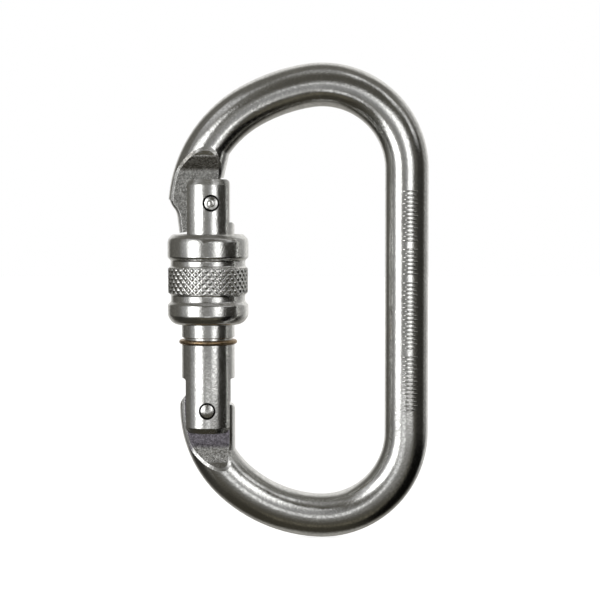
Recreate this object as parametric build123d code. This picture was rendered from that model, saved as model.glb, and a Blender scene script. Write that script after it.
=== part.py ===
"""Oval steel carabiner with a screw-lock sleeve, as eight separate pieces.

A round forged bar makes the frame: a straight spine and two bows, ending in a nose tongue above
and a hinge tongue below.  A turned steel gate closes the side between them.  Its slotted lower end
straddles the hinge tongue and swings on a rivet; its slotted upper end drops over the nose tongue,
where a second rivet sits in the nose's notch.  A coil spring and a plunger inside the gate push on
a cam ledge of the hinge tongue and close it.  A knurled sleeve runs on a thread round the gate, up
over the tip of the nose to lock it, and down as far as a split wire ring in a groove.

Row frame: millimetres, +Z up along the long axis, X from the gate to the spine, Y through the
thickness.  The origin is the crown of the upper bow's inside, where the carabiner hangs.
"""

import math
import os

from build123d import *

# ---- Frame: the bar and its two bows -----------------------------------------------------------
BAR_RADIUS = 5.0
SPINE_X = 19.4  # also the radius of each bow's first arc
SPINE_LENGTH = 60.3
# Each bow is three tangent arcs.  Angles are from the crown towards the gate, in degrees.
UPPER_RADII = (SPINE_X, 40.0, 27.3)
UPPER_TURNS = (9.0, 29.3, 90.0)
LOWER_RADII = (SPINE_X, 31.0, 23.3)
LOWER_TURNS = (3.5, 42.0, 90.0)
UPPER_CENTRE_Z = BAR_RADIUS - SPINE_X
LOWER_CENTRE_Z = UPPER_CENTRE_Z - SPINE_LENGTH

# ---- Gate axis and hinge -----------------------------------------------------------------------
GATE_X = -26.2
HINGE_Z = -69.35
GATE_RADIUS = 6.08
GATE_TOP = 52.7  # heights from here on are above the hinge axis
GATE_BOTTOM = -5.3
HINGE_FLAT = 5.02  # half width across the flats on the hinge end
HINGE_FLAT_TOP = 7.2
NOSE_FLAT = 4.6  # from the axis to the flat on the nose side
NOSE_FLAT_BOTTOM = 38.0
INNER_FLAT = 4.97  # from the axis to the flat on the spine side
INNER_FLAT_BOTTOM = 42.9
INNER_STEP = ((-0.6, 0.0), (-0.12, -0.45), (0.6, -1.8))  # from the gate's side and the flat's end
TOP_BEVEL = (0.7, 1.25)  # inwards, along
FOOT_BEVEL = (0.95, 1.3)
CORNER_RADIUS = 0.9
SMALL_CORNER_RADIUS = 0.35
STEP_RADIUS = 0.6

# ---- Tongues and slots -------------------------------------------------------------------------
TONGUE_THICKNESS = 5.6
SLOT_WIDTH = 5.8
HINGE_SLOT_TOP = 6.7
NOSE_SLOT_FLOOR = 39.6
NOSE_SLOT_WALL = 3.25  # the slot is closed on the spine side from here
POCKET_TOP = 53.3  # where the upper milled flats start to run out
POCKET_BOTTOM = -7.2
RUNOUT_RADIUS = 5.0  # then a straight ramp
RUNOUT_ANGLE = 22.5
RUNOUT_REACH = 9.0  # along the bar, from the end of the flats
POCKET_WIDTH = 30.0
KNUCKLE_RADIUS = 5.2
SHOULDER_RADIUS = 4.05
SHOULDER_CENTRE_HEIGHT = 0.1
HINGE_STUB_OFFSET = 1.2  # forged thickening beside the bar, from the gate axis
HINGE_STUB = (-11.0, 3.0)
NOSE_ROOT_RADIUS = 7.6
NOSE_ROOT = (38.0, 52.0)
NOSE_ROOT_THICKNESS = 8.0
NOSE_STUB_FOOT = (-2.24, 49.8)
NOSE_STUB_LENGTH = 10.8
NOSE_STUB_LEAN = 13.2
EDGE_BREAK = 0.4
NOSE_BREAK_LIMIT = -5.0  # on the nose, only the edges further out than this are broken

# ---- Nose ----------------------------------------------------------------------------------------
NOSE_SWEEP_RADIUS = 41.0  # the tip's end is an arc about the hinge, so the open sleeve clears it
NOSE_RIGHT = 3.05
NOSE_CONE = ((6.26, 38.3), (7.02, 44.1))  # radius about the gate axis, height
NOSE_SHOULDER = ((7.5, 45.7), (8.14, 46.6), (8.8, 48.1))
NOSE_SHOULDER_SLOPES = (0.14, 0.35)  # outwards per height, at its two ends
NOSE_SHOULDER_RISE = 1.5  # where its last stretch is far outside the bar
NOSE_RELIEF = 0.35  # the nose's inner side is cut this far above the gate
CATCH_OFFSET = 1.0
CATCH_HEIGHT = 47.25
NOTCH_HALF_HEIGHT = 1.85

# ---- Rivets --------------------------------------------------------------------------------------
RIVET_RADIUS = 1.5
HINGE_HOLE_RADIUS = 1.55  # running fit in the hinge tongue
SINK_DEPTH = 0.75
SINK_MOUTH_RADIUS = 2.3  # the sink's cone, where it is SINK_RISE outside the gate
SINK_RISE = 0.6
HEAD_EDGE = -0.2  # where the dome starts and how high it stands, from the gate's surface
HEAD_RISE = 0.15

# ---- Spring and plunger --------------------------------------------------------------------------
CAM_RADIUS = 3.0  # base circle of the involute ledge, and the plunger's travel per radian
CAM_HEIGHT = 2.3
CAM_SWEEP = 32.0
CAM_STEPS = 4
LEDGE_WALL = 0.9
LEDGE_CORNER = ((5.1, 1.2), (5.85, 0.8), (6.25, -0.15))
BORE_OFFSET = 2.4
BORE_RADIUS = 1.9
BORE_TOP = 23.0
PLUNGER_TIP_RADIUS = 1.3
PLUNGER_HEAD_RADIUS = 1.85
PLUNGER_HEAD = (8.0, 11.4)
PLUNGER_PILOT_RADIUS = 1.0
PLUNGER_PILOT_TOP = 13.6
PLUNGER_GAP = 0.02
SPRING_RADIUS = 1.48
SPRING_WIRE = 0.27
SPRING_TURNS = 9.0
SPRING_GAP = 0.02

# ---- Ring and sleeve -----------------------------------------------------------------------------
RING_HEIGHT = 15.5
RING_RADIUS = 6.18
RING_WIRE = 0.5
RING_SPLIT = 0.7
GROOVE_RADIUS = 5.63
GROOVE = (14.9, 16.6)
GROOVE_BEVEL = 0.15
SLEEVE_BOTTOM = 19.55
SLEEVE_TOP = 40.15
SLEEVE_RADIUS = 9.28
KNURL_RADIUS = 9.18
WAIST_RADIUS = 8.55
SLEEVE_FOOT = ((7.5, 0.0), (8.3, 0.5), (8.9, 1.25))  # radius, height above the sleeve's bottom
LOWER_COLLAR = (21.55, 24.05)
LOWER_WAIST = (24.8, 26.3)
KNURL_BAND = (26.95, 32.2)
UPPER_WAIST = (32.9, 34.2)
UPPER_COLLAR = (34.9, 38.4)
SLEEVE_HEAD = ((9.05, 39.2), (8.1, SLEEVE_TOP))
BAND_EDGE = (0.15, 0.25)  # inwards, along
SLEEVE_LIP_RADIUS = 6.2
SLEEVE_LIP_HEIGHT = 2.2
LIP_BEVEL = 0.35
SLEEVE_BORE_RADIUS = 6.75
NOSE_BORE_RADIUS = 7.4
NOSE_BORE_FLOOR = 34.6
NOSE_BORE_STEP = 0.5
NOSE_BORE_BEVEL = 0.2

# ---- Thread --------------------------------------------------------------------------------------
PITCH = 1.25
THREAD_BOTTOM = 26.4
THREAD_CORE = GATE_RADIUS
THREAD_CREST = 6.6
NUT_CREST = 6.2
RIDGE_ROOT_WIDTH = 0.74
RIDGE_CREST_WIDTH = 0.24
GATE_RIDGE_TURNS = 7.25
NUT_RIDGE_START = THREAD_BOTTOM + 2.5 * PITCH
NUT_RIDGE_TURNS = 3.5
ROOT_BITE = 0.12  # how far a ridge reaches into its wall

OVERLAP = 0.1  # how far a cut reaches past the face it meets
FAR = 40.0  # longer than anything it cuts


def at(u, w, y=0.0):
    """A point u from the gate axis towards the spine and w above the hinge axis."""
    return (GATE_X + u, y, HINGE_Z + w)


def upright(radius, low, high, u=0.0):
    """A vertical cylinder beside the gate axis between two heights."""
    return Pos(*at(u, (low + high) / 2)) * Cylinder(radius, high - low)


def slab(u_low, u_high, w_low, w_high, thickness):
    """A box centred on the mid plane."""
    centre = at((u_low + u_high) / 2, (w_low + w_high) / 2)
    return Pos(*centre) * Box(u_high - u_low, thickness, w_high - w_low)


def plate(outline, thickness):
    """A flat piece from a closed outline in the mid plane."""
    return extrude(make_face(outline), amount=thickness / 2, both=True)


def pin(radius, length, u, w):
    """A cylinder through the thickness."""
    return Pos(*at(u, w)) * Rot(90, 0, 0) * Cylinder(radius, length)


# ---- Frame ---------------------------------------------------------------------------------------
def bow(side, crown_centre_z, radii, turns):
    """One bow as torus pieces from the spine round to the gate, and where the last one ends.

    side is 1 for the upper bow and -1 for the lower.
    """
    centre_x, centre_z, turn = 0.0, crown_centre_z, -90.0
    pieces = []
    for index, radius in enumerate(radii):
        out_x, out_z = -math.sin(math.radians(turn)), side * math.cos(math.radians(turn))
        if index:
            centre_x += (radii[index - 1] - radius) * out_x
            centre_z += (radii[index - 1] - radius) * out_z
        section = Plane(
            origin=(centre_x + radius * out_x, 0, centre_z + radius * out_z),
            x_dir=(out_x, 0, out_z),
            z_dir=(-side * out_z, 0, side * out_x),
        )
        axis = Axis((centre_x, 0, centre_z), (0, -side, 0))
        pieces.append(revolve(section * Circle(BAR_RADIUS), axis, turns[index] - turn))
        turn = turns[index]
    return pieces, (centre_x - radii[-1], centre_z)


def pocket(side, start):
    """The two milled flats that leave a tongue, each running out up a ramp into the round bar."""
    half = TONGUE_THICKNESS / 2
    lean = math.radians(RUNOUT_ANGLE)
    foot = RUNOUT_RADIUS * math.sin(lean)
    foot_rise = RUNOUT_RADIUS * (1 - math.cos(lean))
    middle = RUNOUT_RADIUS * math.sin(lean / 2)
    middle_rise = RUNOUT_RADIUS * (1 - math.cos(lean / 2))
    ramp = RUNOUT_REACH
    ramp_rise = foot_rise + (ramp - foot) * math.tan(lean)
    cuts = []
    for face in (-1, 1):

        def point(depth, along):
            return (GATE_X - POCKET_WIDTH / 2, face * (half + depth), HINGE_Z + start + side * along)

        outline = Wire(
            [
                Line(point(0, -FAR), point(0, 0)),
                ThreePointArc(point(0, 0), point(middle_rise, middle), point(foot_rise, foot)),
                Line(point(foot_rise, foot), point(ramp_rise, ramp)),
                Line(point(ramp_rise, ramp), point(FAR, ramp)),
                Line(point(FAR, ramp), point(FAR, -FAR)),
                Line(point(FAR, -FAR), point(0, -FAR)),
            ]
        )
        cuts.append(extrude(make_face(outline), amount=POCKET_WIDTH, dir=(1, 0, 0)))
    return cuts


def cam_point(turn):
    """A point of the ledge: an involute, so the flat plunger moves in proportion to the gate."""
    lift = CAM_HEIGHT + CAM_RADIUS * turn
    return at(
        CAM_RADIUS * math.cos(turn) + lift * math.sin(turn),
        lift * math.cos(turn) - CAM_RADIUS * math.sin(turn),
    )


def ledge_cut():
    """What is taken off the hinge tongue on the spine side, above the cam ledge."""
    turns = [math.radians(CAM_SWEEP) * step / CAM_STEPS for step in range(CAM_STEPS + 1)]
    cam = Spline([cam_point(turn) for turn in turns])
    wall_foot = at(LEDGE_WALL, CAM_HEIGHT - OVERLAP / 2)
    corner = [at(*point) for point in LEDGE_CORNER]
    below = LEDGE_CORNER[-1][1]
    outline = Wire(
        [
            Line(at(LEDGE_WALL, FAR), wall_foot),
            Line(wall_foot, cam @ 0),
            cam,
            Line(cam @ 1, corner[0]),
            ThreePointArc(*corner),
            Line(corner[-1], at(FAR, below)),
            Line(at(FAR, below), at(FAR, FAR)),
            Line(at(FAR, FAR), at(LEDGE_WALL, FAR)),
        ]
    )
    return plate(outline, FAR)


def mill(blank, side, start, outer=FAR):
    """Cut a tongue's two flats and break the edges they leave left of outer."""
    cuts = pocket(side, start)
    milled = blank.cut(*cuts)
    rim = new_edges(blank, *cuts, combined=milled)
    return chamfer(rim.filter_by(lambda edge: edge.center().X < GATE_X + outer), EDGE_BREAK)


def turned_nose():
    """The ring taken off the nose by turning: a cone, then a shoulder out to the bar."""
    cone_foot, cone_top = NOSE_CONE
    edge = NOSE_SHOULDER[-1]
    rim = (FAR, 0, edge[1] + NOSE_SHOULDER_RISE)
    shoulder = Spline(
        [(r, 0, h) for r, h in (cone_top, *NOSE_SHOULDER)],
        tangents=[(slope, 0, 1) for slope in NOSE_SHOULDER_SLOPES],
    )
    profile = Wire(
        [
            Line((cone_foot[0], 0, cone_foot[1]), (cone_top[0], 0, cone_top[1])),
            shoulder,
            Line((edge[0], 0, edge[1]), rim),
            Line(rim, (FAR, 0, cone_foot[1])),
            Line((FAR, 0, cone_foot[1]), (cone_foot[0], 0, cone_foot[1])),
        ]
    )
    ring = Pos(*at(0, 0)) * revolve(make_face(profile), Axis.Z, 360)
    return ring & slab(-FAR, 0, 0, 2 * FAR, FAR)


def nose_cuts():
    """What is taken off the milled nose: its inner side, its tip and the rivet's notch."""
    low = NOSE_ROOT[0] - OVERLAP
    inner = slab(NOSE_RIGHT, FAR / 2, low, GATE_TOP + NOSE_RELIEF, FAR)
    tip = pin(NOSE_SWEEP_RADIUS, FAR, 0, 0) & slab(-FAR / 2, FAR / 2, low, FAR * 2, FAR)
    notch_end = pin(NOTCH_HALF_HEIGHT, FAR, CATCH_OFFSET, CATCH_HEIGHT)
    notch = slab(
        CATCH_OFFSET,
        CATCH_OFFSET + NOSE_ROOT_RADIUS,
        CATCH_HEIGHT - NOTCH_HALF_HEIGHT,
        CATCH_HEIGHT + NOTCH_HALF_HEIGHT,
        FAR,
    )
    return [inner, tip, notch_end, notch]


def knuckle_trim(bar_side):
    """What is taken off above the hinge to round the tongue's end over on the outer side."""
    shoulder = pin(
        SHOULDER_RADIUS, FAR, bar_side + SHOULDER_RADIUS, SHOULDER_CENTRE_HEIGHT
    )
    keep = shoulder + pin(KNUCKLE_RADIUS, FAR, 0, 0)
    return slab(-FAR, LEDGE_WALL + OVERLAP, SHOULDER_CENTRE_HEIGHT, FAR / 2, FAR) - keep


def make_frame():
    upper, _ = bow(1, UPPER_CENTRE_Z, UPPER_RADII, UPPER_TURNS)
    lower, bar_end = bow(-1, LOWER_CENTRE_Z, LOWER_RADII, LOWER_TURNS)
    spine_middle = (UPPER_CENTRE_Z + LOWER_CENTRE_Z) / 2
    spine = Pos(SPINE_X, 0, spine_middle) * Cylinder(BAR_RADIUS, SPINE_LENGTH)
    bar_end_u, bar_end_w = bar_end[0] - GATE_X, bar_end[1] - HINGE_Z

    blank = spine.fuse(*upper, *lower)
    blank += upright(BAR_RADIUS, bar_end_w, KNUCKLE_RADIUS + 1, bar_end_u)
    blank = mill(blank, -1, POCKET_BOTTOM)
    blank += mill(upright(BAR_RADIUS, *HINGE_STUB, HINGE_STUB_OFFSET), -1, POCKET_BOTTOM)

    nose_stub = Rot(0, NOSE_STUB_LEAN, 0) * Pos(0, 0, NOSE_STUB_LENGTH / 2)
    nose_stub = Pos(*at(*NOSE_STUB_FOOT)) * nose_stub * Cylinder(BAR_RADIUS, NOSE_STUB_LENGTH)
    nose_root = upright(NOSE_ROOT_RADIUS, *NOSE_ROOT) & slab(-FAR, FAR, *NOSE_ROOT, NOSE_ROOT_THICKNESS)
    blank += nose_stub
    blank += nose_root
    blank -= turned_nose()
    for cut in nose_cuts():
        blank -= cut
    blank = mill(blank, 1, POCKET_TOP, NOSE_BREAK_LIMIT)
    blank -= knuckle_trim(bar_end_u - BAR_RADIUS)
    blank -= ledge_cut()
    blank -= pin(HINGE_HOLE_RADIUS, FAR, 0, 0)
    return blank


# ---- Gate ----------------------------------------------------------------------------------------
def ridge(wall_radius, crest_radius, start, turns):
    """One helical thread ridge.  It points out when the crest is wider than the wall, else in."""
    bite = math.copysign(ROOT_BITE, crest_radius - wall_radius)
    root, crest = wall_radius - bite, crest_radius
    profile = Polyline(
        (root, 0, -RIDGE_ROOT_WIDTH / 2),
        (crest, 0, -RIDGE_CREST_WIDTH / 2),
        (crest, 0, RIDGE_CREST_WIDTH / 2),
        (root, 0, RIDGE_ROOT_WIDTH / 2),
        close=True,
    )
    helix = Helix(PITCH, PITCH * turns, wall_radius)
    swept = sweep(make_face(profile), path=helix, is_frenet=True)
    return Pos(*at(0, start)) * swept


def rivet_depth(offset):
    """How far the gate's surface is from the mid plane at this offset from its axis."""
    return math.sqrt(GATE_RADIUS**2 - offset**2)


def rivet_hole(u, w):
    """A through hole with a shallow sink at each end for the peened heads."""
    hole = pin(RIVET_RADIUS, FAR, u, w)
    surface = rivet_depth(u)
    height = SINK_DEPTH + SINK_RISE
    cone = Cone(RIVET_RADIUS, SINK_MOUTH_RADIUS, height)
    for side in (-1, 1):
        middle = side * (surface - SINK_DEPTH + height / 2)
        hole += Pos(*at(u, w, middle)) * Rot(-90 * side, 0, 0) * cone
    return hole


def gate_outline():
    """The gate seen from the front: flats, rounded steps and rounded corners."""
    inner_step = [(GATE_RADIUS + u, INNER_FLAT_BOTTOM + w) for u, w in INNER_STEP]
    beyond = inner_step[-1][0]
    r = CORNER_RADIUS
    step = STEP_RADIUS
    small = SMALL_CORNER_RADIUS
    turn = 1 - math.sqrt(0.5)

    def round_corner(start, corner, end, radius):
        """An arc whose middle leans towards the corner, between two points beside it."""
        middle = [
            corner[i] + radius * turn * (math.copysign(1, a + b - 2 * corner[i]))
            for i, (a, b) in enumerate(zip(start, end))
        ]
        return ThreePointArc(at(*start), at(*middle), at(*end))

    points = []
    edges = []

    def go(end):
        edges.append(Line(at(*points[-1]), at(*end)))
        points.append(end)

    def bend(corner, end, radius):
        edges.append(round_corner(points[-1], corner, end, radius))
        points.append(end)

    left, right = -HINGE_FLAT, HINGE_FLAT
    points.append((left + r, GATE_BOTTOM))
    bend((left, GATE_BOTTOM), (left, GATE_BOTTOM + r), r)
    go((left, HINGE_FLAT_TOP - step))
    bend((left, HINGE_FLAT_TOP), (left - step, HINGE_FLAT_TOP), step)
    go((-beyond, HINGE_FLAT_TOP))
    go((-beyond, NOSE_FLAT_BOTTOM))
    go((-NOSE_FLAT, NOSE_FLAT_BOTTOM))
    go((-NOSE_FLAT, GATE_TOP - small))
    bend((-NOSE_FLAT, GATE_TOP), (-NOSE_FLAT + small, GATE_TOP), small)
    go((INNER_FLAT - r, GATE_TOP))
    bend((INNER_FLAT, GATE_TOP), (INNER_FLAT, GATE_TOP - r), r)
    go((INNER_FLAT, INNER_FLAT_BOTTOM))
    for corner in inner_step:
        go(corner)
    go((beyond, HINGE_FLAT_TOP))
    go((right + step, HINGE_FLAT_TOP))
    bend((right, HINGE_FLAT_TOP), (right, HINGE_FLAT_TOP - step), step)
    go((right, GATE_BOTTOM + r))
    bend((right, GATE_BOTTOM), (right - r, GATE_BOTTOM), r)
    go(points[0])
    return Wire(edges)


def gate_bar():
    """The turned bar: bevelled foot, ring groove, bevelled head."""
    head_in, head_down = TOP_BEVEL
    foot_in, foot_up = FOOT_BEVEL
    steps = [
        (0, GATE_BOTTOM),
        (GATE_RADIUS - foot_in, GATE_BOTTOM),
        (GATE_RADIUS, GATE_BOTTOM + foot_up),
        (GATE_RADIUS, GROOVE[0]),
        (GROOVE_RADIUS, GROOVE[0] + GROOVE_BEVEL),
        (GROOVE_RADIUS, GROOVE[1] - GROOVE_BEVEL),
        (GATE_RADIUS, GROOVE[1]),
        (GATE_RADIUS, GATE_TOP - head_down),
        (GATE_RADIUS - head_in, GATE_TOP),
        (0, GATE_TOP),
    ]
    section = Polyline(*[(radius, 0, height) for radius, height in steps], close=True)
    return Pos(*at(0, 0)) * revolve(make_face(section), Axis.Z, 360)


def make_gate():
    body = gate_bar() & plate(gate_outline(), FAR)
    body -= slab(-FAR, FAR, -FAR, HINGE_SLOT_TOP, SLOT_WIDTH)
    body -= slab(-FAR, NOSE_SLOT_WALL, NOSE_SLOT_FLOOR, FAR * 2, SLOT_WIDTH)
    body -= rivet_hole(0, 0)
    body -= rivet_hole(CATCH_OFFSET, CATCH_HEIGHT)
    body -= upright(BORE_RADIUS, HINGE_SLOT_TOP - 1, BORE_TOP, BORE_OFFSET)
    body += ridge(THREAD_CORE, THREAD_CREST, THREAD_BOTTOM, GATE_RIDGE_TURNS)
    return body


# ---- Small parts ---------------------------------------------------------------------------------
def make_rivet(u, w):
    """A plain pin with a domed end standing a little out of the gate on each side."""
    edge = rivet_depth(u) + HEAD_EDGE
    top = rivet_depth(u) + HEAD_RISE
    rise = top - edge
    dome = (RIVET_RADIUS**2 + rise**2) / (2 * rise)
    lean = math.asin(RIVET_RADIUS / dome) / 2
    middle = (dome * math.sin(lean), top - dome + dome * math.cos(lean))
    outline = Wire(
        [
            Line((0, -top), (0, top)),
            ThreePointArc((0, top), middle, (RIVET_RADIUS, edge)),
            Line((RIVET_RADIUS, edge), (RIVET_RADIUS, -edge)),
            ThreePointArc((RIVET_RADIUS, -edge), (middle[0], -middle[1]), (0, -top)),
        ]
    )
    return Pos(*at(u, w)) * revolve(make_face(outline), Axis.Y, 360)


def make_plunger():
    tip = upright(PLUNGER_TIP_RADIUS, CAM_HEIGHT + PLUNGER_GAP, PLUNGER_HEAD[0], BORE_OFFSET)
    head = upright(PLUNGER_HEAD_RADIUS, *PLUNGER_HEAD, BORE_OFFSET)
    pilot = upright(PLUNGER_PILOT_RADIUS, PLUNGER_HEAD[1], PLUNGER_PILOT_TOP, BORE_OFFSET)
    return tip + head + pilot


def make_spring():
    low = PLUNGER_HEAD[1] + SPRING_WIRE + SPRING_GAP
    high = BORE_TOP - SPRING_WIRE - SPRING_GAP
    height = high - low
    helix = Helix(height / SPRING_TURNS, height, SPRING_RADIUS)
    section = Plane(origin=helix @ 0, z_dir=helix % 0) * Circle(SPRING_WIRE)
    return Pos(*at(BORE_OFFSET, low)) * sweep(section, path=helix, is_frenet=True)


def make_ring():
    """The wire ring, split at the back so that it can be sprung over the gate."""
    split = Pos(0, RING_RADIUS, 0) * Box(RING_SPLIT, 4 * RING_WIRE, 4 * RING_WIRE)
    return Pos(*at(0, RING_HEIGHT)) * (Torus(RING_RADIUS, RING_WIRE) - split)


def sleeve_outline():
    """Half section of the sleeve without its thread: radius, height above the hinge axis."""
    inwards, along = BAND_EDGE
    outside = [
        (SLEEVE_LIP_RADIUS + LIP_BEVEL, SLEEVE_BOTTOM),
        *[(radius, SLEEVE_BOTTOM + rise) for radius, rise in SLEEVE_FOOT],
        (SLEEVE_RADIUS, LOWER_COLLAR[0]),
        (SLEEVE_RADIUS, LOWER_COLLAR[1]),
        (SLEEVE_RADIUS - inwards, LOWER_COLLAR[1] + along),
        (WAIST_RADIUS, LOWER_WAIST[0]),
        (WAIST_RADIUS, LOWER_WAIST[1]),
        (KNURL_RADIUS - inwards, KNURL_BAND[0] - along),
        (KNURL_RADIUS, KNURL_BAND[0]),
        (KNURL_RADIUS, KNURL_BAND[1]),
        (KNURL_RADIUS - inwards, KNURL_BAND[1] + along),
        (WAIST_RADIUS, UPPER_WAIST[0]),
        (WAIST_RADIUS, UPPER_WAIST[1]),
        (SLEEVE_RADIUS - inwards, UPPER_COLLAR[0] - along),
        (SLEEVE_RADIUS, UPPER_COLLAR[0]),
        (SLEEVE_RADIUS, UPPER_COLLAR[1]),
        *SLEEVE_HEAD,
        (NOSE_BORE_RADIUS + NOSE_BORE_BEVEL, SLEEVE_TOP),
        (NOSE_BORE_RADIUS, SLEEVE_TOP - NOSE_BORE_BEVEL),
    ]
    inside = [
        (NOSE_BORE_RADIUS, NOSE_BORE_FLOOR),
        (SLEEVE_BORE_RADIUS, NOSE_BORE_FLOOR - NOSE_BORE_STEP),
        (SLEEVE_BORE_RADIUS, SLEEVE_BOTTOM + SLEEVE_LIP_HEIGHT),
        (SLEEVE_LIP_RADIUS, SLEEVE_BOTTOM + SLEEVE_LIP_HEIGHT),
        (SLEEVE_LIP_RADIUS, SLEEVE_BOTTOM + LIP_BEVEL),
    ]
    return outside + inside


def make_sleeve():
    section = Polyline(*[(radius, 0, height) for radius, height in sleeve_outline()], close=True)
    body = Pos(*at(0, 0)) * revolve(make_face(section), Axis.Z, 360)
    return body + ridge(SLEEVE_BORE_RADIUS, NUT_CREST, NUT_RIDGE_START, NUT_RIDGE_TURNS)


PARTS = {
    "frame": make_frame,
    "gate": make_gate,
    "hinge_rivet": lambda: make_rivet(0, 0),
    "catch_rivet": lambda: make_rivet(CATCH_OFFSET, CATCH_HEIGHT),
    "spring_plunger": make_plunger,
    "closing_spring": make_spring,
    "stop_ring": make_ring,
    "screw_sleeve": make_sleeve,
}

os.makedirs("parts", exist_ok=True)
for name, make in PARTS.items():
    export_step(make(), f"parts/{name}.step")
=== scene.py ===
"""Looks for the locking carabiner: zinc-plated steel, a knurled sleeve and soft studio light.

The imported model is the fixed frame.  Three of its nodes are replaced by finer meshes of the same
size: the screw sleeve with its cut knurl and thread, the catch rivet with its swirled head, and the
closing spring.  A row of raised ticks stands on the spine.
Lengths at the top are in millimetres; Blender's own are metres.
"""

import math

import bpy
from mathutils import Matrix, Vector


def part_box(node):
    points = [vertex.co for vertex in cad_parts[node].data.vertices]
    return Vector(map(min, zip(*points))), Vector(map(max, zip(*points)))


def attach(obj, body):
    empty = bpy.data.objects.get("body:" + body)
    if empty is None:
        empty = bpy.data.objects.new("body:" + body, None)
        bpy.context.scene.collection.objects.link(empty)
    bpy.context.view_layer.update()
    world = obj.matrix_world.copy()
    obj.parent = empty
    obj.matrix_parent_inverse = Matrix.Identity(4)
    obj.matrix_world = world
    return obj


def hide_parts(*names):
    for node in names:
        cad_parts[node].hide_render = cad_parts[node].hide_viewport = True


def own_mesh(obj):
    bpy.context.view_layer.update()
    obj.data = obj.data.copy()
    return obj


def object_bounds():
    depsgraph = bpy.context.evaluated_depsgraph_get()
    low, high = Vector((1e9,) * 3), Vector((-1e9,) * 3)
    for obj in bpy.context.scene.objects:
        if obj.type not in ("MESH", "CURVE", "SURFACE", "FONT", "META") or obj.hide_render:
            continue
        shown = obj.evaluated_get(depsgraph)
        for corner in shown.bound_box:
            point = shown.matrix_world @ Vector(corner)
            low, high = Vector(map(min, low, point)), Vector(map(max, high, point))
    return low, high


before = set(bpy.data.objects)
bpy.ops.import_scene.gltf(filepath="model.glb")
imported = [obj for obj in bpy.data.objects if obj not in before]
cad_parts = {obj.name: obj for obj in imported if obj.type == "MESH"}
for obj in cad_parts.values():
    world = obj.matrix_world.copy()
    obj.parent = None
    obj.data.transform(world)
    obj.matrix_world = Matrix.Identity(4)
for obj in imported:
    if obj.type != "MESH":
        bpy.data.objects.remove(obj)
cad_low, cad_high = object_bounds()

MM = 0.001

# ---- Camera --------------------------------------------------------------------------------------
CAMERA_DISTANCE = 420.0
CAMERA_TILT = 3.0  # degrees down
FRAME_WIDTH = 137.9  # what the picture spans at the object
FRAMING = (0.45, 0.0, 0.25)  # the picture's centre, from the object's centre
SENSOR = 36.0

# ---- Sleeve: heights are above its lower end, radii from its axis --------------------------------
COLLAR_RADIUS = 9.28
KNURL_RADIUS = 9.18
WAIST_RADIUS = 8.55
SLEEVE_FOOT = ((7.45, 0.0), (8.3, 0.5), (8.9, 1.25))
LOWER_COLLAR = (2.0, 4.5)
LOWER_WAIST = (5.25, 6.75)
KNURL_BAND = (7.4, 12.65)
UPPER_WAIST = (13.35, 14.65)
UPPER_COLLAR = (15.35, 18.85)
SLEEVE_HEIGHT = 20.6
SLEEVE_HEAD = ((9.05, 19.65), (8.1, SLEEVE_HEIGHT))
CORNER_CUT = 0.3  # rounds the corners of the outside
LIP_RADIUS = 6.2
LIP_HEIGHT = 2.2
LIP_BEVEL = 0.35
BORE_RADIUS = 6.75
NOSE_BORE_RADIUS = 7.4
NOSE_BORE_FLOOR = 15.05
NOSE_BORE_STEP = 0.5  # height of the slope between the two bores
NOSE_BORE_BEVEL = 0.2

# ---- Sleeve's thread -----------------------------------------------------------------------------
PITCH = 1.25
NUT_CREST = 6.2
NUT_CREST_HALF = 0.12  # half the width of the ridge's top
NUT_FLANK = 0.25  # width of each of its slopes
NUT_START = 9.975
NUT_TURNS = 3.5
NUT_STEPS = 8  # mesh rows to a turn

# ---- Knurl ---------------------------------------------------------------------------------------
KNURL_TEETH = 34
KNURL_RISE = 1.78  # height of one diamond
KNURL_DEPTH = 0.3
KNURL_GROOVE = 0.36  # half the groove's width, as a share of a tooth
KNURL_STEPS = 12  # mesh columns to a tooth
KNURL_EDGE = (0.1, 0.2)  # the band's broken edge, inwards and along
KNURL_ROWS_PAST = 0.3  # how far past the band the mesh is fine
KNURL_CUT_PAST = 0.35  # how far past the band the grooves may cut
KNURL_SMOOTH = 50  # degrees; sharper edges stay sharp

# ---- Bar -----------------------------------------------------------------------------------------
BAR_RADIUS = 5.0
FLAT_DEPTH = 2.85  # the milled flats, from the mid plane
RAMP_START = 0.3  # above a flat, where its ramp's painted light (highlight at the hinge, shade at the nose) is in full

# ---- Rivets --------------------------------------------------------------------------------------
RIVET_DOME = 0.35  # from the rim to the top
RIVET_RINGS = 20
RIVET_SECTORS = 72
SWIRL_DEPTH = 0.07
SWIRL_PITCH = 1.3
SINK_RADIUS = 1.94  # the countersink round a rivet

# ---- Spring --------------------------------------------------------------------------------------
SPRING_TURNS = 9
SPRING_WIRE = 0.27  # radius
SPRING_STEPS = 36  # mesh rings to a turn
SPRING_SIDES = 10

# ---- Raised ticks on the spine -------------------------------------------------------------------
TICK_TOP = 19.4  # depth below the origin, where the row starts
TICK_GROUPS = (13, 7, 17, 14)  # ticks in each run
TICK_PITCH = 0.93
TICK_GAP = 1.1
TICK_HEIGHT = 0.3
TICK_SINK = 0.05  # how deep it is set into the bar
TICK_OFFSET = 0.6  # towards the outer side of the spine
TICK_HALF_WIDTH = 0.27
TICK_END_WIDTH = 0.4  # at its tips, as a share of the middle
TICK_BLUNTNESS = 0.4  # the lower, the blunter its ends
TICK_LENGTHS = (3.7, 2.7, 3.3)
TICK_SMOOTH = 60  # degrees; sharper edges stay sharp

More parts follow.
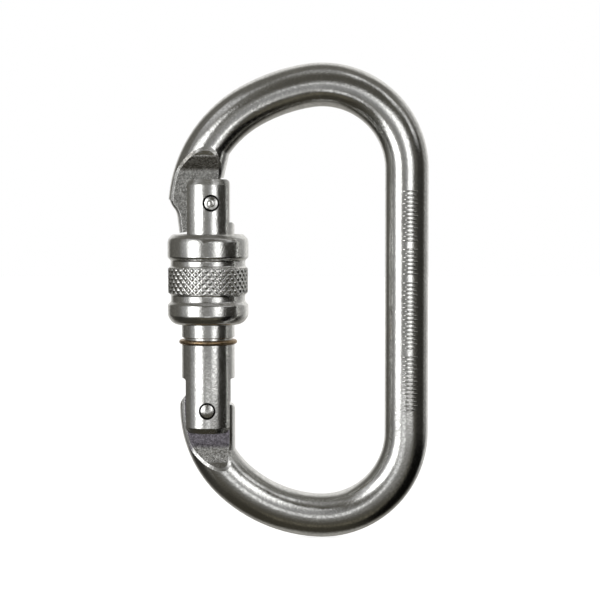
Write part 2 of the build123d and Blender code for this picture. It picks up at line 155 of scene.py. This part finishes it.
# ---- Plate: sizes of its features, and its colours -----------------------------------------------
GRAIN_SIZE = 0.4
PIT_SIZE = 0.85
PIT_SHARE = 0.9  # height of the pits, against the grain's
MOTTLE_SIZE = 0.6
CLOUD_SIZE = 5.0
GRIT_SIZE = 0.45
GRIT_SHARE = 2.6  # height of the grit on milled flats, against the grain's
GRIT_ROUGHNESS = 0.10  # what milling adds
SINK_ROUGHNESS = 0.3  # what is added in the countersink round a rivet, beside its painted shade
EDGE_RADIUS = 0.12  # of the rounding that catches the light along edges
MILLED_LEAD = (0.04, 0.08)  # how much further to the side a milled normal points
MILLED_FACING = (0.87, 0.90)  # and how far to the side it points at least
MILLED_LIGHT_CHANGE = (-60, -50)  # heights; the hinge's painted shade and highlight are below, the nose's above
# painted light on the cuts: shade on the hinge's flat and nose's ramp, a highlight on the hinge's
# ramp
HINGE_FLAT_SHADE = (0.30, 0.28, 0.32, 1.0)
NOSE_FLAT = (0.66, 0.66, 0.64, 1.0)
HINGE_RAMP_HIGHLIGHT = (0.97, 0.97, 0.95, 1.0)
NOSE_RAMP_SHADE = (0.34, 0.33, 0.31, 1.0)
# painted highlight along edges, where the rounded normal turns from the true one
EDGE_HIGHLIGHT = (0.93, 0.93, 0.91, 1.0)
# painted shade in the countersink round a rivet
SINK_SHADE_COLOUR = (0.03, 0.028, 0.024, 1.0)

# ---- Floor ---------------------------------------------------------------------------------------
FLOOR_REACH = 1500
FLOOR_CLOUD = 300
FLOOR_GLOW = 0.9


# ---- Node trees ----------------------------------------------------------------------------------
class Tree:
    """A node tree written as plain calls.  An input may be a socket, a number or a colour."""

    def __init__(self, owner):
        owner.use_nodes = True
        self.nodes = owner.node_tree.nodes
        self.links = owner.node_tree.links
        self.nodes.clear()

    def add(self, kind, inputs, **settings):
        node = self.nodes.new("ShaderNode" + kind)
        for name, value in settings.items():
            setattr(node, name, value)
        for name, value in dict(inputs).items():
            if isinstance(value, bpy.types.NodeSocket):
                self.links.new(value, node.inputs[name])
            else:
                node.inputs[name].default_value = value
        return node

    def math(self, operation, *values):
        return self.add("Math", enumerate(values), operation=operation).outputs[0]

    def vector(self, operation, *values, **more):
        return self.add("VectorMath", [*enumerate(values), *more.items()], operation=operation)

    def step(self, value, low, high):
        """0 below low, 1 above high, smooth between them."""
        inputs = {"Value": value, "From Min": low, "From Max": high}
        return self.add("MapRange", inputs, interpolation_type="SMOOTHSTEP").outputs[0]

    def between(self, value, low, high):
        """Turns 0..1 into low..high."""
        inputs = {"Value": value, "To Min": low, "To Max": high}
        return self.add("MapRange", inputs).outputs[0]

    def mix(self, factor, first, second):
        inputs = {0: factor, 6: first, 7: second}
        return self.add("Mix", inputs, data_type="RGBA").outputs[2]

    def noise(self, where, size, detail=2.0, **more):
        """Noise with features about size millimetres across."""
        inputs = {"Vector": where, "Scale": 1 / (size * MM), "Detail": detail, **more}
        return self.add("TexNoise", inputs).outputs["Fac"]


def grey(level, warmth=0.0):
    """A linear colour; warmth takes blue away."""
    return (level * (1 + 0.1 * warmth), level, level * (1 - 0.25 * warmth), 1.0)


def shaded(colour, share):
    """The same colour, with that share of its brightness."""
    return [channel * share for channel in colour[:3]] + [1.0]


# ---- Studio --------------------------------------------------------------------------------------
# What the metal sees far away, laid over each other in this order.  Angles are in degrees: azimuth 0
# is the camera's side and grows to the right; elevation is above the horizon.
# name: (azimuth, elevation, width, height, softness, level, warmth)
WALLS = {
    "floor_front": (0, -30, 200, 30, 14, 0.08, 0.7),
    "floor_below": (0, -75, 360, 50, 12, 0.040, 1.0),
    "rear_floor": (178, -40, 76, 70, 16, 0.34, 0.3),
    "rear_right": (126, 8, 46, 66, 9, 0.36, 0.1),
    "rear_wall": (174, 20, 80, 70, 16, 0.85, 0.1),
    "left_wall": (-98, 8, 44, 60, 14, 0.13, 0.4),
    "left_rim": (-68, 0, 16, 56, 14, 0.42, 0.0),
    "left_low": (-98, -32, 56, 34, 12, 0.035, 0.5),
    "front": (-4, -2, 70, 42, 12, 0.22, 0.2),
    "umbrella": (20, 33, 78, 40, 9, 0.075, 0.6),
    "overhead": (5, 72, 100, 20, 8, 0.30, 0.1),
    "left_upper": (-58, 44, 46, 18, 7, 0.55, 0.0),
    "right_gap": (74, 2, 42, 44, 9, 0.035, 0.5),
    "rim_top": (46, 62, 24, 12, 6, 0.90, 0.0),
    "rim_middle": (60, 44, 16, 16, 6, 0.95, 0.0),
    "rim_foot": (71, 26, 13, 16, 6, 0.85, 0.0),
    "table_edge": (8, -52, 80, 14, 7, 0.10, 1.0),
    "black_flag": (85, -38, 72, 58, 9, 0.003, 0.5),
}
# Behind them all, the room's shade below rises to the ceiling's level above.
SHADE = 0.05
CEILING = 0.14
CEILING_EDGE = (-25, 35)

# Light boxes stand near the object, so each part of it mirrors them in a different place.
# name: (centre in millimetres, width, height, softness, strength)
BOXES = {
    "left_light": ((-142, -150, -14), 104, 176, 30, 2.6),
    "right_light": ((55, -140, -23), 52, 104, 28, 2.0),
    "front_top": ((4, -150, 12), 34, 26, 10, 0.65),
    "front_middle": ((2, -152, -36), 30, 66, 8, 0.26),
    "front_foot": ((-22, -150, -96), 56, 34, 12, 1.0),
}


def make_camera():
    data = bpy.data.cameras.new("camera")
    data.sensor_width = SENSOR
    data.lens = SENSOR * CAMERA_DISTANCE / FRAME_WIDTH
    camera = bpy.data.objects.new("camera", data)
    bpy.context.scene.collection.objects.link(camera)
    focus = (cad_low + cad_high) / 2 + Vector(FRAMING) * MM
    tilt = math.radians(CAMERA_TILT)
    back = Vector((0, -math.cos(tilt), math.sin(tilt)))
    camera.location = focus + back * CAMERA_DISTANCE * MM
    camera.rotation_euler = (-back).to_track_quat("-Z", "Y").to_euler()
    bpy.context.scene.camera = camera


def make_world():
    """White to the camera; to the metal, a dim studio with soft light boxes."""
    world = bpy.data.worlds.new("studio")
    bpy.context.scene.world = world
    tree = Tree(world)
    direction = tree.add("TexCoord", {}).outputs["Generated"]
    x, y, z = tree.add("SeparateXYZ", {0: direction}).outputs
    azimuth = tree.math("DEGREES", tree.math("ARCTAN2", x, tree.math("MULTIPLY", y, -1.0)))
    elevation = tree.math("DEGREES", tree.math("ARCSINE", z))
    light = tree.mix(tree.step(elevation, *CEILING_EDGE), grey(SHADE, 0.7), grey(CEILING, 0.4))
    for across, up, width, height, softness, level, warmth in WALLS.values():
        side = tree.math("WRAP", tree.math("SUBTRACT", azimuth, across), 180.0, -180.0)
        beside = tree.math("SUBTRACT", tree.math("ABSOLUTE", side), width / 2)
        rise = tree.math("ABSOLUTE", tree.math("SUBTRACT", elevation, up))
        above = tree.math("SUBTRACT", rise, height / 2)
        outside = tree.step(tree.math("MAXIMUM", beside, above), -softness, softness)
        light = tree.mix(outside, grey(level, warmth), light)
    seen = tree.add("LightPath", {}).outputs["Is Camera Ray"]
    colour = tree.mix(seen, light, grey(1.0))
    background = tree.add("Background", {"Color": colour})
    tree.add("OutputWorld", {"Surface": background.outputs[0]})


def make_panel(name, corners, material):
    """A single face with four corners."""
    mesh = bpy.data.meshes.new(name)
    mesh.from_pydata(corners, [], [(0, 1, 2, 3)])
    mesh.materials.append(material)
    panel = bpy.data.objects.new(name, mesh)
    bpy.context.scene.collection.objects.link(panel)
    return panel


def make_box(name, centre, width, height, softness, strength):
    """A light box facing the object, fading out round its edge.  The camera looks through it."""
    material = bpy.data.materials.new(name)
    tree = Tree(material)
    where = tree.add("TexCoord", {}).outputs["Object"]
    x, _, z = tree.add("SeparateXYZ", {0: where}).outputs
    beside = tree.math("SUBTRACT", tree.math("ABSOLUTE", x), width / 2 * MM)
    above = tree.math("SUBTRACT", tree.math("ABSOLUTE", z), height / 2 * MM)
    outside = tree.step(tree.math("MAXIMUM", beside, above), -softness * MM, softness * MM)
    glow = tree.add("Emission", {"Color": grey(1.0), "Strength": strength}).outputs[0]
    clear = tree.add("BsdfTransparent", {}).outputs[0]
    faded = tree.add("MixShader", {0: outside, 1: glow, 2: clear}).outputs[0]
    tree.add("OutputMaterial", {"Surface": faded})
    half, rise = (width / 2 + softness) * MM, (height / 2 + softness) * MM
    corners = [(-half, 0, -rise), (half, 0, -rise), (half, 0, rise), (-half, 0, rise)]
    box = make_panel(name, corners, material)
    box.location = Vector(centre) * MM
    box.rotation_euler.z = math.atan2(-centre[0], centre[1])
    box.visible_camera = False
    box.visible_diffuse = False
    box.visible_shadow = False


def make_floor():
    """A pale floor under the lower bow, lit evenly enough to vanish into the backdrop."""
    material = bpy.data.materials.new("pale_floor")
    tree = Tree(material)
    where = tree.add("TexCoord", {}).outputs["Object"]
    shade = tree.mix(tree.noise(where, FLOOR_CLOUD, 1), grey(0.78), grey(0.82))
    matt = tree.add("BsdfDiffuse", {"Color": shade}).outputs[0]
    glow = tree.add("Emission", {"Color": grey(1.0), "Strength": FLOOR_GLOW}).outputs[0]
    both = tree.add("AddShader", {0: matt, 1: glow}).outputs[0]
    tree.add("OutputMaterial", {"Surface": both})
    reach = FLOOR_REACH * MM
    level = cad_low.z
    corners = [(x * reach, y * reach, level) for x, y in ((-1, -1), (1, -1), (1, 1), (-1, 1))]
    floor = make_panel("floor", corners, material)
    floor.visible_glossy = False
    floor.visible_diffuse = False


# ---- Metals --------------------------------------------------------------------------------------
def finish_metal(tree, colour, rough, bump):
    """Ends a tree with bare metal."""
    inputs = {
        "Base Color": colour,
        "Metallic": 1.0,
        "Roughness": rough,
        "Normal": bump.outputs[0],
    }
    surface = tree.add("BsdfPrincipled", inputs).outputs[0]
    tree.add("OutputMaterial", {"Surface": surface})


def milled_parts(tree, where, geometry):
    """Where the bar has been cut flat, the grit there, and the colour there.

    A cut is found by its normal, which points further to the side than the round bar's would.  At
    the hinge the flat has painted shade under the gate's foot and the ramp it runs out in has a
    painted highlight; at the nose the flat is a paler plain grey and the ramp has painted shade.
    """
    normal_y = tree.add("SeparateXYZ", {0: geometry.outputs["True Normal"]}).outputs[1]
    _, y, level = tree.add("SeparateXYZ", {0: where}).outputs
    depth = tree.math("ABSOLUTE", y)
    round_y = tree.math("DIVIDE", depth, BAR_RADIUS * MM)
    sideways = tree.math("ABSOLUTE", normal_y)
    lead = tree.step(tree.math("SUBTRACT", sideways, round_y), *MILLED_LEAD)
    milled = tree.math("MULTIPLY", lead, tree.step(sideways, *MILLED_FACING))
    grit = tree.noise(where, GRIT_SIZE, 4, Roughness=0.65)
    on_ramp = tree.step(depth, FLAT_DEPTH * MM, (FLAT_DEPTH + RAMP_START) * MM)
    # The hinge's flat carries painted shade and its ramp a painted highlight; the nose's ramp painted
    # shade.
    at_nose = tree.step(level, *(height * MM for height in MILLED_LIGHT_CHANGE))
    flat = tree.mix(at_nose, HINGE_FLAT_SHADE, NOSE_FLAT)
    ramp = tree.mix(at_nose, HINGE_RAMP_HIGHLIGHT, NOSE_RAMP_SHADE)
    cut = tree.mix(on_ramp, flat, ramp)
    dark_cut = tree.vector("SCALE", cut, Scale=0.55).outputs[0]
    return milled, grit, tree.mix(tree.step(grit, 0.42, 0.60), dark_cut, cut)


def sink_shade_mask(tree, where, rivet):
    """1 in the countersink round a rivet, 0 outside it."""
    low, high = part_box(rivet)
    centre = (low + high) / 2
    offset = tree.vector("SUBTRACT", where, (centre.x, 0, centre.z)).outputs[0]
    across = tree.vector("MULTIPLY", offset, (1, 0, 1)).outputs[0]
    reach = tree.vector("LENGTH", across).outputs["Value"]
    outside = tree.step(reach, SINK_RADIUS * 0.93 * MM, SINK_RADIUS * 1.03 * MM)
    return tree.math("SUBTRACT", 1.0, outside)


def plated_steel(name, tint, roughness, grain, milled=False, sinks=()):
    """Zinc plate over steel: fine grain in the surface, dull clouds, a painted highlight brightening
    the edges.

    grain is the height of the fine bumps.  With milled, the bar's flats and ramps are coarse and
    carry painted shade and highlight.  Round each rivet named in sinks the surface has painted shade.
    """
    material = bpy.data.materials.new(name)
    tree = Tree(material)
    where = tree.add("TexCoord", {}).outputs["Object"]
    geometry = tree.add("NewGeometry", {})
    pits = tree.math("MULTIPLY", tree.noise(where, PIT_SIZE, 2), PIT_SHARE)
    height = tree.math("ADD", tree.noise(where, GRAIN_SIZE, 3), pits)
    mottle = tree.step(tree.noise(where, MOTTLE_SIZE, 3), 0.36, 0.64)
    rough = tree.between(mottle, roughness * 0.7, roughness * 1.5)
    clouds = tree.step(tree.noise(where, CLOUD_SIZE, 4), 0.35, 0.7)
    colour = tree.mix(clouds, tint, shaded(tint, 0.86))
    colour = tree.mix(tree.math("MULTIPLY", mottle, 0.6), colour, shaded(tint, 0.72))
    if milled:
        coarse, grit, cut = milled_parts(tree, where, geometry)
        gritty = tree.math("MULTIPLY", grit, tree.math("MULTIPLY", coarse, GRIT_SHARE))
        height = tree.math("ADD", height, gritty)
        rough = tree.math("ADD", rough, tree.math("MULTIPLY", coarse, GRIT_ROUGHNESS))
        # the milled colour, with its painted shade and highlight
        colour = tree.mix(coarse, colour, cut)
    # Painted highlight along the edges: where the rounded normal turns away from the true one, the
    # colour is brightened.
    rounded = tree.add("Bevel", {"Radius": EDGE_RADIUS * MM}, samples=4).outputs[0]
    facing = tree.vector("DOT_PRODUCT", rounded, geometry.outputs["Normal"]).outputs["Value"]
    edge_highlight = tree.math("SUBTRACT", 1.0, tree.step(facing, 0.9, 0.995))
    colour = tree.mix(tree.math("MULTIPLY", edge_highlight, 0.6), colour, EDGE_HIGHLIGHT)
    # Painted shade in the countersink round each rivet: darker colour and more roughness there.
    for rivet in sinks:
        sink_shade = sink_shade_mask(tree, where, rivet)
        colour = tree.mix(sink_shade, colour, SINK_SHADE_COLOUR)
        rough = tree.math("ADD", rough, tree.math("MULTIPLY", sink_shade, SINK_ROUGHNESS))
    bumps = {"Strength": 1.0, "Distance": grain * MM, "Height": height, "Normal": rounded}
    finish_metal(tree, colour, rough, tree.add("Bump", bumps))
    return material


def bronze(name):
    """Browned spring wire of the stop ring, with streaks along it."""
    material = bpy.data.materials.new(name)
    tree = Tree(material)
    where = tree.add("TexCoord", {}).outputs["Object"]
    streaks = tree.noise(where, 0.6, 4)
    colour = tree.mix(tree.step(streaks, 0.35, 0.65), (0.30, 0.20, 0.11, 1), (0.52, 0.40, 0.26, 1))
    bumps = {"Strength": 1.0, "Distance": 0.02 * MM, "Height": streaks}
    finish_metal(tree, colour, tree.between(streaks, 0.22, 0.42), tree.add("Bump", bumps))
    return material


# ---- Mesh helpers --------------------------------------------------------------------------------
CORNER_SHARE = 0.45  # the most of a side that a rounded corner takes
SAME_RADIUS = 0.15  # how far from a radius an outline's run may lie and still be on it


def piece(name, points, faces, material, body, smooth_angle=40.0):
    """A finished mesh piece, in the row frame, riding on a CAD body."""
    mesh = bpy.data.meshes.new(name)
    mesh.from_pydata([Vector(p) * MM for p in points], [], faces)
    mesh.validate()
    mesh.shade_smooth()
    mesh.set_sharp_from_angle(angle=math.radians(smooth_angle))
    mesh.materials.append(material)
    made = bpy.data.objects.new(name, mesh)
    bpy.context.scene.collection.objects.link(made)
    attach(made, body)
    return made


def soften(points, cut, steps=4):
    """Rounds each inner corner of an open outline: a curve from cut before it to cut after it."""
    result = [points[0]]
    for before, corner, after in zip(points, points[1:], points[2:]):
        a, c, b = Vector(before), Vector(corner), Vector(after)
        reach_a = min(cut, (a - c).length * CORNER_SHARE)
        reach_b = min(cut, (b - c).length * CORNER_SHARE)
        start = c + (a - c).normalized() * reach_a
        end = c + (b - c).normalized() * reach_b
        for i in range(steps + 1):
            t = i / steps
            result.append(tuple(start * (1 - t) ** 2 + c * 2 * t * (1 - t) + end * t**2))
    result.append(points[-1])
    return result


def split(points, radius, low, high, step):
    """Divides the outline's straight runs at that radius between two heights into short steps."""
    result = [points[0]]
    for a, b in zip(points, points[1:]):
        straight = abs(a[0] - radius) < SAME_RADIUS and abs(b[0] - radius) < SAME_RADIUS
        if straight and low <= min(a[1], b[1]) and max(a[1], b[1]) <= high:
            count = max(1, round(abs(b[1] - a[1]) / step))
            for i in range(1, count):
                t = i / count
                result.append((a[0] * (1 - t) + b[0] * t, a[1] * (1 - t) + b[1] * t))
        result.append(b)
    return result


# ---- Screw sleeve --------------------------------------------------------------------------------
def knurl_radius(angle, height):
    """Radius of the knurled surface: two families of crossed grooves."""
    turn = KNURL_TEETH * angle / math.tau
    deepest = 0.0
    for way in (1, -1):
        phase = (turn + way * height / KNURL_RISE) % 1.0
        from_groove = abs(phase - 0.5) / KNURL_GROOVE
        if from_groove < 1:
            deepest = max(deepest, 0.5 + 0.5 * math.cos(math.pi * from_groove))
    return KNURL_RADIUS - KNURL_DEPTH * deepest


def thread_radius(angle, height):
    """Radius of the bore with the nut thread's ridge: a trapezoid wound round it."""
    along = (height - NUT_START) / PITCH - angle / math.tau
    turn = round(along)
    if not 0 <= turn + angle / math.tau <= NUT_TURNS:
        return BORE_RADIUS
    share = 1 - (abs(along - turn) * PITCH - NUT_CREST_HALF) / NUT_FLANK
    share = min(1.0, max(0.0, share))
    return BORE_RADIUS - (BORE_RADIUS - NUT_CREST) * share


def sleeve_outline():
    """The sleeve's closed half section, up the outside and down the inside."""
    inwards, along = KNURL_EDGE
    outside = [
        (LIP_RADIUS + LIP_BEVEL, 0.0),
        *SLEEVE_FOOT,
        (COLLAR_RADIUS, LOWER_COLLAR[0]),
        (COLLAR_RADIUS, LOWER_COLLAR[1]),
        (WAIST_RADIUS, LOWER_WAIST[0]),
        (WAIST_RADIUS, LOWER_WAIST[1]),
        (KNURL_RADIUS - inwards, KNURL_BAND[0] - along),
        (KNURL_RADIUS, KNURL_BAND[0]),
        (KNURL_RADIUS, KNURL_BAND[1]),
        (KNURL_RADIUS - inwards, KNURL_BAND[1] + along),
        (WAIST_RADIUS, UPPER_WAIST[0]),
        (WAIST_RADIUS, UPPER_WAIST[1]),
        (COLLAR_RADIUS, UPPER_COLLAR[0]),
        (COLLAR_RADIUS, UPPER_COLLAR[1]),
        *SLEEVE_HEAD,
        (NOSE_BORE_RADIUS + NOSE_BORE_BEVEL, SLEEVE_HEIGHT),
        (NOSE_BORE_RADIUS, SLEEVE_HEIGHT - NOSE_BORE_BEVEL),
    ]
    inside = [
        (NOSE_BORE_RADIUS, NOSE_BORE_FLOOR),
        (BORE_RADIUS, NOSE_BORE_FLOOR - NOSE_BORE_STEP),
        (BORE_RADIUS, LIP_HEIGHT),
        (LIP_RADIUS, LIP_HEIGHT),
        (LIP_RADIUS, LIP_BEVEL),
    ]
    knurl_low = KNURL_BAND[0] - KNURL_ROWS_PAST
    knurl_high = KNURL_BAND[1] + KNURL_ROWS_PAST
    knurl_step = KNURL_RISE / KNURL_STEPS
    outside = split(soften(outside, CORNER_CUT), KNURL_RADIUS, knurl_low, knurl_high, knurl_step)
    return outside + split(inside, BORE_RADIUS, LIP_HEIGHT, NOSE_BORE_FLOOR, PITCH / NUT_STEPS)


def make_sleeve(material):
    """The sleeve's outline turned round its axis, with the knurl and the thread cut into it."""
    low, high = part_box("screw_sleeve")
    axis = (low + high) / 2 / MM
    foot = low.z / MM
    columns = KNURL_TEETH * KNURL_STEPS
    outline = sleeve_outline()
    knurl_low = KNURL_BAND[0] - KNURL_CUT_PAST
    knurl_high = KNURL_BAND[1] + KNURL_CUT_PAST
    points = []
    for radius, height in outline:
        for i in range(columns):
            angle = math.tau * i / columns
            r = radius
            if knurl_low < height < knurl_high and r > WAIST_RADIUS:
                r = min(r, knurl_radius(angle, height))
            elif radius == BORE_RADIUS:
                r = thread_radius(angle, height)
            points.append((axis.x + r * math.sin(angle), axis.y - r * math.cos(angle), foot + height))
    faces = []
    rows = len(outline)
    for j in range(rows):
        above = (j + 1) % rows
        for i in range(columns):
            k = (i + 1) % columns
            faces.append((j * columns + i, j * columns + k, above * columns + k, above * columns + i))
    sleeve = piece("knurled_sleeve", points, faces, material, "sleeve", KNURL_SMOOTH)
    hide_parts("screw_sleeve")


# ---- Catch rivet ---------------------------------------------------------------------------------
def make_catch_rivet(material):
    """The cross pin: a swirl in each domed head, as the setting tool leaves it."""
    low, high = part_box("catch_rivet")
    centre = (low + high) / 2 / MM
    radius = (high.x - low.x) / 2 / MM
    tip = (high.y - low.y) / 2 / MM
    dome = (radius**2 + RIVET_DOME**2) / (2 * RIVET_DOME)
    rings, sectors = RIVET_RINGS, RIVET_SECTORS

    def head_point(side, ring, sector):
        share = ring / rings
        r = radius * share
        angle = math.tau * sector / sectors
        rise = math.sqrt(dome**2 - r**2) - dome
        swirl = math.sin(angle + math.tau * r / SWIRL_PITCH) * math.sin(math.pi * share**0.8) ** 2
        out = tip + rise - SWIRL_DEPTH * (1 + swirl) * (1 - share**4)
        return (
            centre.x + r * math.sin(angle) * side,
            centre.y - side * out,
            centre.z + r * math.cos(angle),
        )

    points = []
    faces = []
    for side in (1, -1):
        first = len(points)
        points.append(head_point(side, 0, 0))
        for ring in range(1, rings + 1):
            points += [head_point(side, ring, s) for s in range(sectors)]
        for s in range(sectors):
            faces.append((first, first + 1 + s, first + 1 + (s + 1) % sectors))
            for ring in range(1, rings):
                a = first + 1 + (ring - 1) * sectors
                b = a + sectors
                t = (s + 1) % sectors
                faces.append((a + s, b + s, b + t, a + t))
    front_rim = 1 + (rings - 1) * sectors
    back_rim = 1 + rings * sectors + front_rim
    for s in range(sectors):
        t = (s + 1) % sectors
        mirror_s, mirror_t = (-s) % sectors, (-t) % sectors
        faces.append((front_rim + s, back_rim + mirror_s, back_rim + mirror_t, front_rim + t))
    rivet = piece("swirled_rivet", points, faces, material, "gate")
    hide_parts("catch_rivet")


# ---- Closing spring ------------------------------------------------------------------------------
def make_spring(material):
    """The coil inside the gate."""
    low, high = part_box("closing_spring")
    centre = (low + high) / 2 / MM
    coil = (high.x - low.x) / 2 / MM - SPRING_WIRE
    bottom = low.z / MM + SPRING_WIRE
    height = (high.z - low.z) / MM - 2 * SPRING_WIRE
    steps, sides = SPRING_TURNS * SPRING_STEPS, SPRING_SIDES
    points = []
    for i in range(steps + 1):
        angle = math.tau * SPRING_TURNS * i / steps
        outward = Vector((math.cos(angle), math.sin(angle), 0))
        at = Vector((centre.x, centre.y, bottom + height * i / steps)) + outward * coil
        for k in range(sides):
            turn = math.tau * k / sides
            around = outward * math.cos(turn) + Vector((0, 0, math.sin(turn)))
            points.append(at + around * SPRING_WIRE)
    faces = [tuple(range(sides)), tuple(reversed(range(steps * sides, (steps + 1) * sides)))]
    for i in range(steps):
        for k in range(sides):
            m = (k + 1) % sides
            faces.append((i * sides + k, (i + 1) * sides + k, (i + 1) * sides + m, i * sides + m))
    spring = piece("coil_spring", points, faces, material, "gate")
    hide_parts("closing_spring")
    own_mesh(spring)


# ---- Ticks on the spine --------------------------------------------------------------------------
def tick(depth, length, x_centre):
    """One low rounded bar across the front of the spine, set a little into it."""
    middle = TICK_OFFSET / BAR_RADIUS
    across, along = 10, 4
    points = []
    for i in range(across + 1):
        share = i / across
        x = (share - 0.5) * length
        end = math.sin(math.pi * share) ** TICK_BLUNTNESS
        half_width = TICK_HALF_WIDTH * (TICK_END_WIDTH + (1 - TICK_END_WIDTH) * end)
        slant = middle + x / BAR_RADIUS
        for k in range(along + 1):
            turn = math.pi * k / along
            r = BAR_RADIUS + TICK_HEIGHT * math.sin(turn) * end - TICK_SINK
            z = depth - math.cos(turn) * half_width
            points.append((x_centre + r * math.sin(slant), -r * math.cos(slant), z))
    row = along + 1
    faces = []
    for i in range(across):
        for k in range(along):
            a = i * row + k
            faces.append((a, a + row, a + row + 1, a + 1))
        faces.append((i * row, i * row + along, (i + 1) * row + along, (i + 1) * row))
    faces.append(tuple(range(row)))
    faces.append(tuple(reversed(range(across * row, across * row + row))))
    return points, faces


def make_ticks(material):
    """The runs of ticks down the spine, their lengths taken in turn."""
    spine_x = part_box("frame")[1].x / MM - BAR_RADIUS
    points, faces = [], []
    depth = -TICK_TOP
    for count in TICK_GROUPS:
        for i in range(count):
            bar_points, bar_faces = tick(depth, TICK_LENGTHS[i % len(TICK_LENGTHS)], spine_x)
            faces += [tuple(k + len(points) for k in face) for face in bar_faces]
            points += bar_points
            depth -= TICK_PITCH
        depth -= TICK_GAP
    piece("spine_ticks", points, faces, material, "frame", TICK_SMOOTH)


# ---- Build ---------------------------------------------------------------------------------------
make_camera()
make_world()
make_floor()
for name, settings in BOXES.items():
    make_box(name, *settings)

# name, tint, roughness, grain
bar_zinc = plated_steel("bar_zinc", (0.86, 0.86, 0.84, 1.0), 0.15, 0.02, milled=True)
rivets = ("hinge_rivet", "catch_rivet")
gate_zinc = plated_steel("gate_zinc", (0.86, 0.86, 0.84, 1.0), 0.17, 0.021, sinks=rivets)
sleeve_zinc = plated_steel("sleeve_zinc", (0.88, 0.88, 0.86, 1.0), 0.17, 0.021)
rivet_steel = plated_steel("rivet_steel", (0.90, 0.90, 0.88, 1.0), 0.20, 0.03)
wire_steel = plated_steel("wire_steel", (0.50, 0.50, 0.52, 1.0), 0.22, 0.006)
ring_bronze = bronze("ring_bronze")

NODE_MATERIALS = {
    "frame": bar_zinc,
    "gate": gate_zinc,
    "hinge_rivet": rivet_steel,
    "catch_rivet": rivet_steel,
    "spring_plunger": wire_steel,
    "closing_spring": wire_steel,
    "stop_ring": ring_bronze,
    "screw_sleeve": sleeve_zinc,
}
for node, material in NODE_MATERIALS.items():
    for material_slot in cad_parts[node].material_slots:
        material_slot.material = material

make_sleeve(sleeve_zinc)
make_catch_rivet(rivet_steel)
make_spring(wire_steel)
make_ticks(bar_zinc)

view = bpy.context.scene.view_settings
view.view_transform = "Standard"
view.look = "None"
